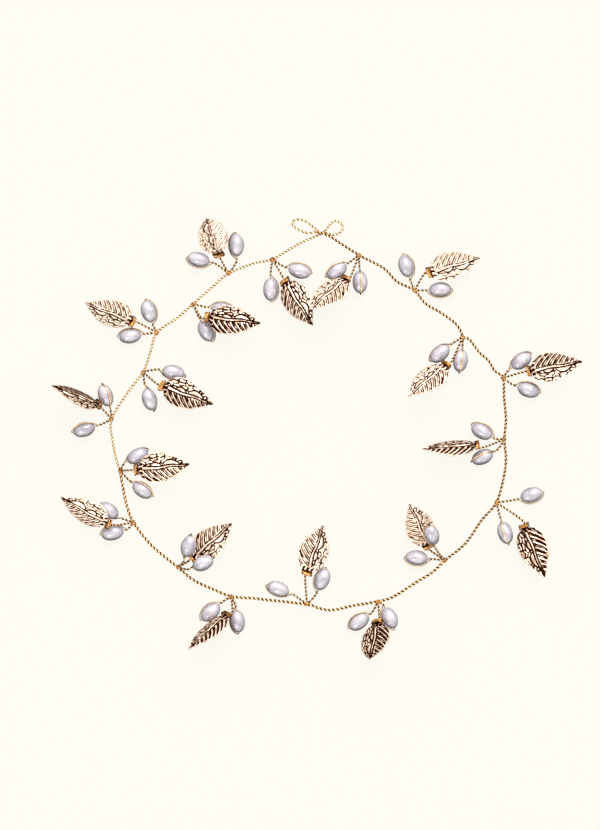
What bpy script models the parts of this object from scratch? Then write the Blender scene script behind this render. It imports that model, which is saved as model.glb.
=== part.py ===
"""Bridal hair vine, worn as a tiara: a ring of twisted gold wire that carries nineteen sprigs.

The vine is a long pair of twisted strands, bent into a ring whose two ends cross and finish in
eyelets. Each sprig leaves the vine at a knot. It carries one stamped leaf, bound on by a few turns
of wire, and two rice pearls, each threaded on a strand that comes back along the outside of the
pearl. The ring lies on its pearls in the XY plane, with +Z up. The origin is on the surface it lies
on, under the centre of the outer box. The tables are in millimetres and degrees, about the middle
of the ring, and headings are anticlockwise from +X.
"""

import math

import bmesh
import bpy
from mathutils import Matrix, Vector

MM = 0.001

# Where the middle of the ring lies from the origin.
RING_MIDDLE = Vector((-3.8, 7.3, -0.1))

# Wire: a single strand, and the pair of strands twisted together.
STRAND_RADIUS = 0.2
PAIR_RADIUS = 0.4
VINE_HEIGHT = 3.0
ROUTE_STEP = 4.0
KNOT_RADIUS = 0.9

# A rice pearl, and the strand that passes through its bore and back along its outside.
PEARL_LENGTH = 9.0
PEARL_WIDTH = 6.0
BORE_RADIUS = 0.5
PEARL_SIDES = 8
PEARL_STATIONS = 6
RETURN_LENGTH = 5.1
RETURN_RADIUS = 3.55
RETURN_STATIONS = 6
STEM_END = 5.3
STEM_STRAIGHT = 6.6
STRANDS_MEET = 6.1
STRANDS_APART = 0.22

# A stamped leaf, measured from the middle of its binding to the tip.
LEAF_LENGTH = 21.8
LEAF_THICKNESS = 0.4
LEAF_DOME = 0.9
LEAF_NUB = 1.25
LEAF_ARCH = 0.6
LEAF_OUTLINE = (
    # distance from the binding, half width
    (-LEAF_NUB, 2.1),
    (-0.9, 1.9),
    (0.9, 1.9),
    (2.2, 3.7),
    (5.2, 5.6),
    (9.0, 6.1),
    (13.5, 5.2),
    (18.0, 2.8),
    (LEAF_LENGTH, 0.2),
)

# The binding: a flat sleeve around the leaf's neck, the outer shape of the turns of wire.
BINDING_LENGTH = 1.5
BINDING_WIDTH = 5.5
BINDING_HEIGHT = 2.2
BINDING_WALL = 0.4
STEM_UNDER_LEAF = 1.2
STEM_BEHIND_LEAF = 2.8

# An arm's tube starts this far from the knot that it turns on.
PIVOT_GAP = 1.3

KNOTS = {
    1: (-31.6, 58.8),
    2: (-14.0, 64.6),
    3: (-45.8, 46.6),
    4: (-60.2, 35.2),
    5: (-65.8, 19.4),
    6: (-78.4, 0.4),
    7: (-75.0, -20.0),
    8: (-69.6, -40.8),
    9: (-51.8, -58.8),
    10: (-30.4, -70.4),
    11: (-0.2, -73.6),
    12: (28.2, -72.4),
    13: (55.0, -56.0),
    14: (75.6, -32.8),
    15: (78.8, -7.6),
    16: (78.2, 17.0),
    17: (62.2, 33.4),
    18: (42.8, 52.0),
    19: (20.6, 66.2),
}

# The vine's route, set by hand between the knots. The arms cross at the back, one over the other.
LEFT_ROUTE = (
    KNOTS[7],
    (-76.4, -16.0),
    (-78.0, -8.0),
    KNOTS[6],
    (-72.2, 10.8),
    KNOTS[5],
    (-63.0, 27.0),
    KNOTS[4],
    (-52.4, 40.8),
    KNOTS[3],
    (-37.6, 53.8),
    KNOTS[1],
    (-21.6, 62.8),
    KNOTS[2],
    (-3.2, 70.8, 2.5),
    (7.3, 75.5, 2.3),
)
MIDDLE_ROUTE = (
    KNOTS[7],
    (-74.0, -26.0),
    (-72.2, -34.4),
    KNOTS[8],
    (-62.4, -50.0),
    KNOTS[9],
    (-45.4, -64.0),
    (-37.6, -67.6),
    KNOTS[10],
    (-21.2, -71.2),
    (-18.0, -71.6),
    KNOTS[11],
    (4.8, -75.2),
    (10.0, -75.9),
    (18.8, -74.0),
    KNOTS[12],
    (34.2, -70.6),
    (42.8, -65.2),
    (49.6, -61.0),
    KNOTS[13],
)
RIGHT_ROUTE = (
    KNOTS[13],
    (63.2, -49.2),
    (69.6, -40.0),
    KNOTS[14],
    (78.6, -22.4),
    (79.4, -15.2),
    KNOTS[15],
    (79.4, 0.4),
    (78.7, 8.8),
    KNOTS[16],
    (74.8, 20.0),
    (72.4, 24.0),
    (68.8, 27.2),
    (64.8, 32.4),
    KNOTS[17],
    (61.2, 36.0),
    (58.8, 39.2),
    (53.2, 43.2),
    (47.2, 46.8),
    KNOTS[18],
    (35.8, 55.6),
    (30.4, 61.0),
    KNOTS[19],
    (12.8, 71.2, 3.4),
    (8.2, 74.0, 3.7),
    (3.4, 75.7, 3.7),
)

# The eyelets at the two ends, closed rings of the twisted pair.
LEFT_EYELET_HEIGHT = 2.3
LEFT_EYELET = (
    (7.2, 75.4),
    (8.2, 77.4),
    (9.8, 79.2),
    (11.4, 79.8),
    (13.2, 79.0),
    (14.2, 77.4),
    (13.6, 75.8),
    (11.8, 74.6),
    (9.8, 74.3),
)
RIGHT_EYELET_HEIGHT = 3.7
RIGHT_EYELET = (
    (3.6, 75.8),
    (1.8, 77.8),
    (-0.6, 79.6),
    (-3.0, 80.4),
    (-5.0, 80.2),
    (-6.0, 79.0),
    (-5.4, 77.6),
    (-3.4, 76.2),
    (0.2, 75.0),
)

# Each sprig: the leaf's x, y, z, heading, pitch and roll, then for each of its two pearls
# x, y, z, heading, pitch, and the side its return strand lies on, from 0 on top to 90 on the left.
SPRIGS = {
    1: ((-35.6, 66.6, 6.0, 108, 43, 0), (-28.4, 70.2, 3.0, 92, 0, 110), (-43.6, 64.4, 3.0, 168, 0, 90)),
    2: ((-9.0, 55.4, 6.8, 302, 20, 15), (-3.2, 59.8, 3.0, -15, 0, 80), (-14.8, 52.4, 3.0, -90, 0, 90)),
    3: ((-40.0, 41.2, 7.6, 354, 12, -15), (-34.0, 44.2, 3.0, -10, 0, 100), (-40.6, 35.8, 3.0, -62, 0, 100)),
    4: ((-70.2, 39.6, 6.4, 159, 26, -24), (-63.6, 43.6, 3.0, 108, 0, -80), (-71.0, 33.8, 3.0, 188, 0, -70)),
    5: ((-58.0, 13.8, 7.4, 340, 10, 5), (-53.6, 19.2, 3.0, -12, 0, -120), (-63.2, 8.4, 3.0, -72, 0, 140)),
    6: ((-83.8, 6.6, 6.8, 157, 28, 62), (-80.8, 10.0, 3.0, 109, 0, -25), (-89.4, -3.6, 3.0, 196, 0, -50)),
    7: ((-68.2, -19.6, 7.4, 6, 14, 0), (-68.0, -14.2, 3.0, 28, 0, 130), (-66.0, -27.8, 3.0, -35, 0, 45)),
    8: ((-79.8, -41.2, 7.4, 151, 12, -32), (-79.8, -36.0, 3.0, 150, 0, 130), (-78.0, -45.0, 3.0, 193, 0, -75)),
    9: ((-46.0, -54.8, 2.8, 41, 18, 0), (-47.6, -50.3, 7.6, 73, 14, 150), (-41.8, -57.0, 7.6, 25, 14, 150)),
    10: ((-32.6, -77.6, 7.4, 221, 24, 60), (-38.8, -76.8, 3.0, 222, 0, -85), (-28.0, -80.4, 3.0, -84, 0, -110)),
    11: ((-0.2, -60.6, 5.6, 71, 26, 5), (-11.8, -67.4, 3.0, 160, 0, 120), (5.9, -63.6, 3.0, 68, 0, 80)),
    12: ((27.9, -80.7, 6.6, 259, 43, 30), (20.6, -80.6, 3.0, 215, 0, -70), (32.9, -79.0, 3.0, -64, 0, -80)),
    13: ((48.1, -50.0, 3.3, 114, 34, 8), (49.6, -45.8, 10.3, 105, 32, 110), (43.7, -54.9, 3.0, 175, 0, 85)),
    14: ((86.6, -42.4, 5.6, 292, 6, 10), (89.6, -29.8, 3.0, 17, 0, -85), (79.1, -45.0, 3.0, -72, 0, -10)),
    15: ((67.6, -9.8, 7.0, 183, 6, 60), (69.7, -4.4, 3.0, 151, 0, -75), (70.0, -14.6, 3.0, 204, 0, -20)),
    16: ((88.6, 19.8, 7.2, 10, 14, 0), (85.6, 23.8, 3.0, 35, 0, 120), (88.4, 12.2, 3.0, -18, 0, 70)),
    17: ((55.2, 22.2, 7.8, 219, 28, 36), (53.0, 26.7, 3.0, 220, 0, -120), (61.2, 23.9, 3.0, 262, 0, 10)),
    18: ((49.0, 59.2, 6.0, 16, 22, 8), (39.4, 61.8, 3.0, 107, 0, -80), (53.1, 52.4, 3.0, 3, 0, -80)),
    19: ((15.2, 56.5, 7.6, 220, 32, 36), (11.6, 59.9, 3.0, 213, 0, -50), (21.0, 55.4, 3.0, -88, 0, 10)),
}

# Which wire carries which sprigs. The sprigs at the two turning knots stay on the middle.
LEFT_SPRIGS = (2, 1, 3, 4, 5, 6)
MIDDLE_SPRIGS = (7, 8, 9, 10, 11, 12, 13)
RIGHT_SPRIGS = (14, 15, 16, 17, 18, 19)

COLOURS = {
    # name: colour, metallic, roughness
    "gold_wire": ((0.93, 0.72, 0.38), 1.0, 0.25),
    "rose_gold": ((0.90, 0.64, 0.48), 1.0, 0.28),
    "pearl": ((0.80, 0.78, 0.86), 0.0, 0.18),
}


def clear_scene():
    """Removes what the startup scene holds."""
    for obj in list(bpy.data.objects):
        bpy.data.objects.remove(obj)


def new_collection(name):
    collection = bpy.data.collections.new(name)
    bpy.context.scene.collection.children.link(collection)
    return collection


def make_material(name):
    """A Principled material with the colour, metallic value and roughness of the table."""
    colour, metallic, roughness = COLOURS[name]
    material = bpy.data.materials.new(name)
    material.use_nodes = True
    shader = material.node_tree.nodes["Principled BSDF"]
    shader.inputs["Base Color"].default_value = (*colour, 1.0)
    shader.inputs["Metallic"].default_value = metallic
    shader.inputs["Roughness"].default_value = roughness
    return material


def placed(x, y, z, heading, pitch=0.0, roll=0.0):
    """The frame at a point about the ring's middle: +X along the heading, pitched up, then rolled."""
    return (
        Matrix.Translation((Vector((x, y, z)) + RING_MIDDLE) * MM)
        @ Matrix.Rotation(math.radians(heading), 4, "Z")
        @ Matrix.Rotation(math.radians(-pitch), 4, "Y")
        @ Matrix.Rotation(math.radians(roll), 4, "X")
    )


def on_ring(point, height=VINE_HEIGHT):
    """A route point of x, y and perhaps z, in metres in the part's frame."""
    x, y, *rest = point
    return (Vector((x, y, rest[0] if rest else height)) + RING_MIDDLE) * MM


def smooth_route(points, step):
    """Points about step apart on a Catmull-Rom curve through the given ones."""
    ends = [2 * points[0] - points[1], *points, 2 * points[-1] - points[-2]]
    route = []
    for before, start, end, after in zip(ends, ends[1:], ends[2:], ends[3:]):
        pieces = max(1, round((end - start).length / step))
        for i in range(pieces):
            t = i / pieces
            route.append(
                0.5
                * (
                    2 * start
                    + (end - before) * t
                    + (2 * before - 5 * start + 4 * end - after) * t**2
                    + (3 * start - before - 3 * end + after) * t**3
                )
            )
    return [*route, points[-1]]


def mesh_copy(helper, name, collection):
    """The evaluated shape of an object as a welded mesh object; the object itself is removed."""
    bpy.context.view_layer.update()
    evaluated = helper.evaluated_get(bpy.context.evaluated_depsgraph_get())
    mesh = bpy.data.meshes.new_from_object(evaluated)
    matrix = helper.matrix_world.copy()
    bpy.data.objects.remove(helper)
    cage = bmesh.new()
    cage.from_mesh(mesh)
    bmesh.ops.remove_doubles(cage, verts=cage.verts, dist=1e-6)
    bmesh.ops.recalc_face_normals(cage, faces=cage.faces)
    cage.to_mesh(mesh)
    cage.free()
    mesh.name = name
    obj = bpy.data.objects.new(name, mesh)
    obj.matrix_world = matrix
    collection.objects.link(obj)
    return obj


def tube(name, points, radius, sides, collection, cyclic=False):
    """A wire along the points, as a closed mesh with flat ends."""
    curve = bpy.data.curves.new(name, "CURVE")
    curve.dimensions = "3D"
    curve.bevel_depth = radius * MM
    curve.bevel_resolution = (sides - 4) // 2
    curve.use_fill_caps = not cyclic
    spline = curve.splines.new("POLY")
    spline.points.add(len(points) - 1)
    for spot, point in zip(spline.points, points):
        spot.co = (*point, 1.0)
    spline.use_cyclic_u = cyclic
    helper = bpy.data.objects.new(name, curve)
    collection.objects.link(helper)
    return mesh_copy(helper, name, collection)


def knot(name, middle, collection):
    """The small ball of wire where a sprig's stems leave the vine."""
    cage = bmesh.new()
    bmesh.ops.create_icosphere(cage, subdivisions=1, radius=KNOT_RADIUS * MM)
    mesh = bpy.data.meshes.new(name)
    cage.to_mesh(mesh)
    cage.free()
    obj = bpy.data.objects.new(name, mesh)
    obj.location = middle
    collection.objects.link(obj)
    return obj


def rectangle(curve, width, height):
    """Adds a closed rectangle about the curve's origin."""
    spline = curve.splines.new("POLY")
    spline.points.add(3)
    corners = ((1, 1), (-1, 1), (-1, -1), (1, -1))
    for spot, (x, y) in zip(spline.points, corners):
        spot.co = (x * width / 2 * MM, y * height / 2 * MM, 0.0, 1.0)
    spline.use_cyclic_u = True


def binding(name, frame, collection):
    """The sleeve of turns around a leaf's neck, open along the leaf."""
    curve = bpy.data.curves.new(name, "CURVE")
    curve.dimensions = "2D"
    curve.fill_mode = "BOTH"
    curve.extrude = BINDING_LENGTH / 2 * MM
    rectangle(curve, BINDING_WIDTH, BINDING_HEIGHT)
    rectangle(curve, BINDING_WIDTH - 2 * BINDING_WALL, BINDING_HEIGHT - 2 * BINDING_WALL)
    helper = bpy.data.objects.new(name, curve)
    # The outline's X and Y become the leaf's Y and Z.
    helper.matrix_world = frame @ Matrix(((0, 0, 1, 0), (1, 0, 0, 0), (0, 1, 0, 0), (0, 0, 0, 1)))
    collection.objects.link(helper)
    return mesh_copy(helper, name, collection)


def pearl_frame(pearl):
    """The pearl's middle, with +X along its bore, away from the stem, and +Z to its return strand."""
    *place, side = pearl
    return placed(*place, -side)


def pearl_wire_points():
    """The strand through the bore and back along the outside, in the pearl's frame."""
    points = [
        Vector((-STRANDS_MEET, 0, -STRANDS_APART)),
        Vector((-STEM_END + 0.3, 0, 0)),
        Vector((RETURN_LENGTH - 0.15, 0, 0)),
    ]
    for i in range(RETURN_STATIONS):
        angle = math.radians(22 + 130 * i / (RETURN_STATIONS - 1))
        points.append(Vector((RETURN_LENGTH * math.cos(angle), 0, RETURN_RADIUS * math.sin(angle))))
    points += [Vector((-STEM_END, 0, 0.8)), Vector((-STRANDS_MEET, 0, STRANDS_APART))]
    return [point * MM for point in points]


def sprig_wires(number, collection):
    """The knot, stems, pearl strands and leaf binding of one sprig, all overlapping their neighbours."""
    leaf, *pearls = SPRIGS[number]
    start = on_ring(KNOTS[number])
    knot(f"knot_{number:02d}", start, collection)
    frame = placed(*leaf)
    stem = [
        start,
        frame @ Vector((-STEM_BEHIND_LEAF * MM, 0, -STEM_UNDER_LEAF * MM)),
        frame @ Vector((0, 0, -(BINDING_HEIGHT - BINDING_WALL) / 2 * MM)),
    ]
    tube(f"leaf_stem_{number:02d}", stem, PAIR_RADIUS, 4, collection)
    binding(f"binding_{number:02d}", frame, collection)
    for letter, pearl in zip("ab", pearls):
        frame = pearl_frame(pearl)
        stem = [
            start,
            frame @ Vector((-STEM_STRAIGHT * MM, 0, 0)),
            frame @ Vector((-STEM_END * MM, 0, 0)),
        ]
        tube(f"pearl_stem_{number:02d}{letter}", stem, PAIR_RADIUS, 4, collection)
        strand = [frame @ point for point in pearl_wire_points()]
        tube(f"pearl_strand_{number:02d}{letter}", strand, STRAND_RADIUS, 4, collection)


def vine(name, route, sprigs, collection, eyelet=None, gap_at_start=False, gap_at_end=False):
    """One stretch of the vine, and the wires of its sprigs in a collection of their own."""
    pieces = new_collection(f"{name}_wires")
    points = smooth_route([on_ring(point) for point in route], ROUTE_STEP * MM)
    if gap_at_start:
        points[0] += (points[1] - points[0]).normalized() * PIVOT_GAP * MM
    if gap_at_end:
        points[-1] += (points[-2] - points[-1]).normalized() * PIVOT_GAP * MM
    for number in sprigs:
        sprig_wires(number, pieces)
    if eyelet:
        outline, height = eyelet
        tube(f"{name}_eyelet", [on_ring(p, height) for p in outline], PAIR_RADIUS, 6, pieces, cyclic=True)
    for piece in pieces.objects:
        piece.hide_render = True
        piece.display_type = "WIRE"
    return tube(name, points, PAIR_RADIUS, 6, collection)


def join_wires(obj):
    """Makes a stretch of the vine and the wires of its sprigs one body."""
    join = obj.modifiers.new("join", "BOOLEAN")
    join.operation = "UNION"
    join.operand_type = "COLLECTION"
    join.collection = bpy.data.collections[f"{obj.name}_wires"]


def leaf_mesh():
    """A domed sheet in the leaf's outline: +X to the tip, +Z its outer face."""
    stations = len(LEAF_OUTLINE) - 1
    columns = 4
    cage = bmesh.new()
    bmesh.ops.create_grid(cage, x_segments=stations, y_segments=columns, size=0.5)
    widest = max(half for _, half in LEAF_OUTLINE)
    for vertex in cage.verts:
        along, half = LEAF_OUTLINE[round((vertex.co.x + 0.5) * stations)]
        across = vertex.co.y * 2 * half
        dome = LEAF_DOME * (across / widest) ** 2
        arch = LEAF_ARCH * (along / LEAF_LENGTH) ** 2
        vertex.co = Vector((along, across, -dome - arch)) * MM
    mesh = bpy.data.meshes.new("leaf")
    cage.to_mesh(mesh)
    cage.free()
    return mesh


def pearl_profile():
    """The half outline of a pearl beside its bore, down the outside and back up the bore."""
    start = math.asin(BORE_RADIUS / (PEARL_WIDTH / 2))
    cage = bmesh.new()
    corners = []
    for i in range(PEARL_STATIONS):
        angle = start + (math.pi - 2 * start) * i / (PEARL_STATIONS - 1)
        spot = Vector((PEARL_WIDTH / 2 * math.sin(angle), 0, PEARL_LENGTH / 2 * math.cos(angle)))
        corners.append(cage.verts.new(spot * MM))
    for corner, following in zip(corners, corners[1:] + corners[:1]):
        cage.edges.new((corner, following))
    mesh = bpy.data.meshes.new("pearl_profile")
    cage.to_mesh(mesh)
    cage.free()
    return mesh


def add_leaf(number, mesh, carrier, material, collection):
    """One leaf, with its origin in the middle of its binding, where it tilts."""
    obj = bpy.data.objects.new(f"leaf_{number:02d}", mesh)
    obj.matrix_world = placed(*SPRIGS[number][0])
    collection.objects.link(obj)
    sheet = obj.modifiers.new("sheet", "SOLIDIFY")
    sheet.thickness = LEAF_THICKNESS * MM
    sheet.offset = 0.0
    finish(obj, carrier, material)


def add_pearl(number, letter, pearl, profile, carrier, material, collection):
    """One pearl, turned about its bore, with its origin in its middle."""
    obj = bpy.data.objects.new(f"pearl_{number:02d}{letter}", profile)
    obj.matrix_world = pearl_frame(pearl) @ Matrix.Rotation(math.radians(90), 4, "Y")
    collection.objects.link(obj)
    turn = obj.modifiers.new("turn", "SCREW")
    turn.steps = PEARL_SIDES
    turn.render_steps = PEARL_SIDES
    turn.use_merge_vertices = True
    turn.merge_threshold = 1e-6
    finish(obj, carrier, material)


def finish(obj, carrier, material):
    """Gives a piece its material, and hangs it on the wire that carries it."""
    if not obj.data.materials:
        obj.data.materials.append(material)
    if carrier:
        matrix = obj.matrix_world.copy()
        obj.parent = carrier
        obj.matrix_parent_inverse = carrier.matrix_world.inverted()
        obj.matrix_world = matrix


def main():
    clear_scene()
    parts = new_collection("bridal_hair_vine")
    gold, rose, white = (make_material(name) for name in ("gold_wire", "rose_gold", "pearl"))
    middle = vine("vine_middle", MIDDLE_ROUTE, MIDDLE_SPRIGS, parts)
    left = vine(
        "vine_left",
        LEFT_ROUTE,
        LEFT_SPRIGS,
        parts,
        eyelet=(LEFT_EYELET, LEFT_EYELET_HEIGHT),
        gap_at_start=True,
    )
    right = vine(
        "vine_right",
        RIGHT_ROUTE,
        RIGHT_SPRIGS,
        parts,
        eyelet=(RIGHT_EYELET, RIGHT_EYELET_HEIGHT),
        gap_at_start=True,
    )
    leaf, profile = leaf_mesh(), pearl_profile()
    for carrier, sprigs in ((middle, MIDDLE_SPRIGS), (left, LEFT_SPRIGS), (right, RIGHT_SPRIGS)):
        finish(carrier, None, gold)
        for number in sprigs:
            add_leaf(number, leaf, carrier, rose, parts)
            for letter, pearl in zip("ab", SPRIGS[number][1:]):
                add_pearl(number, letter, pearl, profile, carrier, white, parts)
    for carrier in (middle, left, right):
        join_wires(carrier)


main()
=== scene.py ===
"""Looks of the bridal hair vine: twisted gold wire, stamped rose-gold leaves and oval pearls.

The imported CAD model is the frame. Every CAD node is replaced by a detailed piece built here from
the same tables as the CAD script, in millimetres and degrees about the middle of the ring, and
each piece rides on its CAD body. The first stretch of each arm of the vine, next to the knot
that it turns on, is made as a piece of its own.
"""

import math

import bpy
import numpy as np
from mathutils import Matrix, Vector


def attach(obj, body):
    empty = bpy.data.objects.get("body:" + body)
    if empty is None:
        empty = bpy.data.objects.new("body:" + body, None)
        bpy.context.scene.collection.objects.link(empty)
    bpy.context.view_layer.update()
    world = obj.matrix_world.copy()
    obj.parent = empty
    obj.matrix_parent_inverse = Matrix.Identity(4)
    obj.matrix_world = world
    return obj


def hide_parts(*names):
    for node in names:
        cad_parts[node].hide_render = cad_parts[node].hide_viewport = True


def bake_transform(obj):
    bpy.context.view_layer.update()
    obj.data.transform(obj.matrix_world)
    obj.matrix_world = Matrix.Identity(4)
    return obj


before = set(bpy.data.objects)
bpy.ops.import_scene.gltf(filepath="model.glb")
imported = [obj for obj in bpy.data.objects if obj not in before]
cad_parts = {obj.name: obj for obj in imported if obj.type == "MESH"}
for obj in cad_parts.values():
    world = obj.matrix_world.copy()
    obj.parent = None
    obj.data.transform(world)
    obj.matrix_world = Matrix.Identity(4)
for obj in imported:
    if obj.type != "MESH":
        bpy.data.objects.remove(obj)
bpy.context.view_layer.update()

MM = 0.001
# Where the tables' origin, the middle of the ring, lies in the part's frame
RING_MIDDLE = Vector((-3.8, 7.3, -0.1))
VINE_HEIGHT = 3.0
# The pearls here are rounder than in the CAD, so they reach down this far.
FLOOR_LEVEL = -0.11

# Wire
STRAND_RADIUS = 0.23
STRAND_STEP = 0.28  # between the rings of its mesh
STRAND_SIDES = 6
CURVE_STEPS = 24  # between two points of a route
COIL_STEPS = 14  # in each turn
STEM_PITCH = 3.0
STEM_LEAD = 0.22  # the share of a stem in which it turns into the bore
LOOP_WIRE = 0.25
BEND_LENGTH = 7.0  # of an arm's vine, next to its pivot
ENDS_CROSS = (4.5, 75.2)  # where the vine's ends lie across each other

# Bindings
BINDING_REACH = 1.95  # half its width across the neck
BINDING_RISE = 1.2  # half its height
BINDING_WIRE = 0.25
BINDING_STEPS = 44  # in each turn
BINDING_TURNS = (
    # place along the neck, share of copper, whether it lies over the others on the slant
    (-0.8, 0.7, False),
    (-0.42, 1.0, False),
    (-0.03, 0.5, False),
    (0.32, 1.0, False),
    (-0.22, 0.4, True),
)

# Pearls
PEARL_LENGTH = 9.0
PEARL_WIDTH = 6.0
PEARL_BORE = 0.36  # radius
PEARL_SIDES = 36
PEARL_STATIONS = 22
PEARL_RIPPLE = 0.009
STRANDS_MEET = 5.7  # this far before the middle
LOOP_REACH = 4.98  # half the length of the strand's arc over a pearl
LOOP_RISE = 3.36  # that arc's height over the bore

# Leaves
LEAF_LENGTH = 21.8
LEAF_DOME = 0.9
LEAF_ARCH = 0.6
LEAF_SHEET = 0.26
LEAF_ROWS = 132
LEAF_COLUMNS = 66
TOOTH_LENGTH = 1.35
TOOTH_DEPTH = 0.3
CURL_START = 12.5  # this far along a curled leaf
ON_EDGE_ROLL = 45  # a leaf rolled further stands on edge
VEIN_SPACING = 2.35
NET_ROW = 1.2  # a row's width
NET_CELL = 3.1  # a cell's length
NET_ROWS = 10
NET_COLUMNS = 14
LINE_REACH = 0.6  # how far to its side a line still counts as near
RELIEF = 0.24
RIB_RISE = 0.42
CELL_RISE = 0.34
SMOOTH_CELLS = (
    # start, end, reach from the midrib
    (10.6, 17.8, 2.3),
    (5.4, 10.4, 1.7),
)
LEAF_OUTLINE = (
    # distance from the binding, half width
    (-1.1, 1.2),
    (-0.9, 1.15),
    (0.75, 1.3),
    (1.6, 3.1),
    (2.6, 4.15),
    (5.2, 5.6),
    (9.0, 6.1),
    (13.5, 5.2),
    (18.0, 2.8),
    (LEAF_LENGTH, 0.12),
)

# Looks, floor and camera
CREASE_ROUGHNESS = (0.6, 0.6, 0.6)
FLOOR_SIZE = 8.0  # metres
CAMERA_LENS = 300.0
CAMERA_SENSOR = 36.0
VIEW_SPAN = 332.0  # the longer side of the picture
VIEW_MIDDLE = (-6.8, 9.5, 4.0)

KNOTS = {
    1: (-31.6, 58.8),
    2: (-14.0, 64.6),
    3: (-45.8, 46.6),
    4: (-60.2, 35.2),
    5: (-65.8, 19.4),
    6: (-78.4, 0.4),
    7: (-75.0, -20.0),
    8: (-69.6, -40.8),
    9: (-51.8, -58.8),
    10: (-30.4, -70.4),
    11: (-0.2, -73.6),
    12: (28.2, -72.4),
    13: (55.0, -56.0),
    14: (75.6, -32.8),
    15: (78.8, -7.6),
    16: (78.2, 17.0),
    17: (62.2, 33.4),
    18: (42.8, 52.0),
    19: (20.6, 66.2),
}

LEFT_ROUTE = (
    KNOTS[7],
    (-76.4, -16.0),
    (-78.0, -8.0),
    KNOTS[6],
    (-72.2, 10.8),
    KNOTS[5],
    (-63.0, 27.0),
    KNOTS[4],
    (-52.4, 40.8),
    KNOTS[3],
    (-37.6, 53.8),
    KNOTS[1],
    (-21.6, 62.8),
    KNOTS[2],
    (-3.2, 70.8, 2.5),
    (7.3, 75.5, 2.3),
)
MIDDLE_ROUTE = (
    KNOTS[7],
    (-74.0, -26.0),
    (-72.2, -34.4),
    KNOTS[8],
    (-62.4, -50.0),
    KNOTS[9],
    (-45.4, -64.0),
    (-37.6, -67.6),
    KNOTS[10],
    (-21.2, -71.2),
    (-18.0, -71.6),
    KNOTS[11],
    (4.8, -75.2),
    (10.0, -75.9),
    (18.8, -74.0),
    KNOTS[12],
    (34.2, -70.6),
    (42.8, -65.2),
    (49.6, -61.0),
    KNOTS[13],
)
RIGHT_ROUTE = (
    KNOTS[13],
    (63.2, -49.2),
    (69.6, -40.0),
    KNOTS[14],
    (78.6, -22.4),
    (79.4, -15.2),
    KNOTS[15],
    (79.4, 0.4),
    (78.7, 8.8),
    KNOTS[16],
    (74.8, 20.0),
    (72.4, 24.0),
    (68.8, 27.2),
    (64.8, 32.4),
    KNOTS[17],
    (61.2, 36.0),
    (58.8, 39.2),
    (53.2, 43.2),
    (47.2, 46.8),
    KNOTS[18],
    (35.8, 55.6),
    (30.4, 61.0),
    KNOTS[19],
    (12.8, 71.2, 3.4),
    (8.2, 74.0, 3.7),
    (3.4, 75.7, 3.7),
)

LEFT_EYELET_HEIGHT = 2.3
LEFT_EYELET = (
    (7.2, 75.4),
    (8.2, 77.4),
    (9.8, 79.2),
    (11.4, 79.8),
    (13.2, 79.0),
    (14.2, 77.4),
    (13.6, 75.8),
    (11.8, 74.6),
    (9.8, 74.3),
)
RIGHT_EYELET_HEIGHT = 3.7
RIGHT_EYELET = (
    (3.6, 75.8),
    (1.8, 77.8),
    (-0.6, 79.6),
    (-3.0, 80.4),
    (-5.0, 80.2),
    (-6.0, 79.0),
    (-5.4, 77.6),
    (-3.4, 76.2),
    (0.2, 75.0),
)

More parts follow.
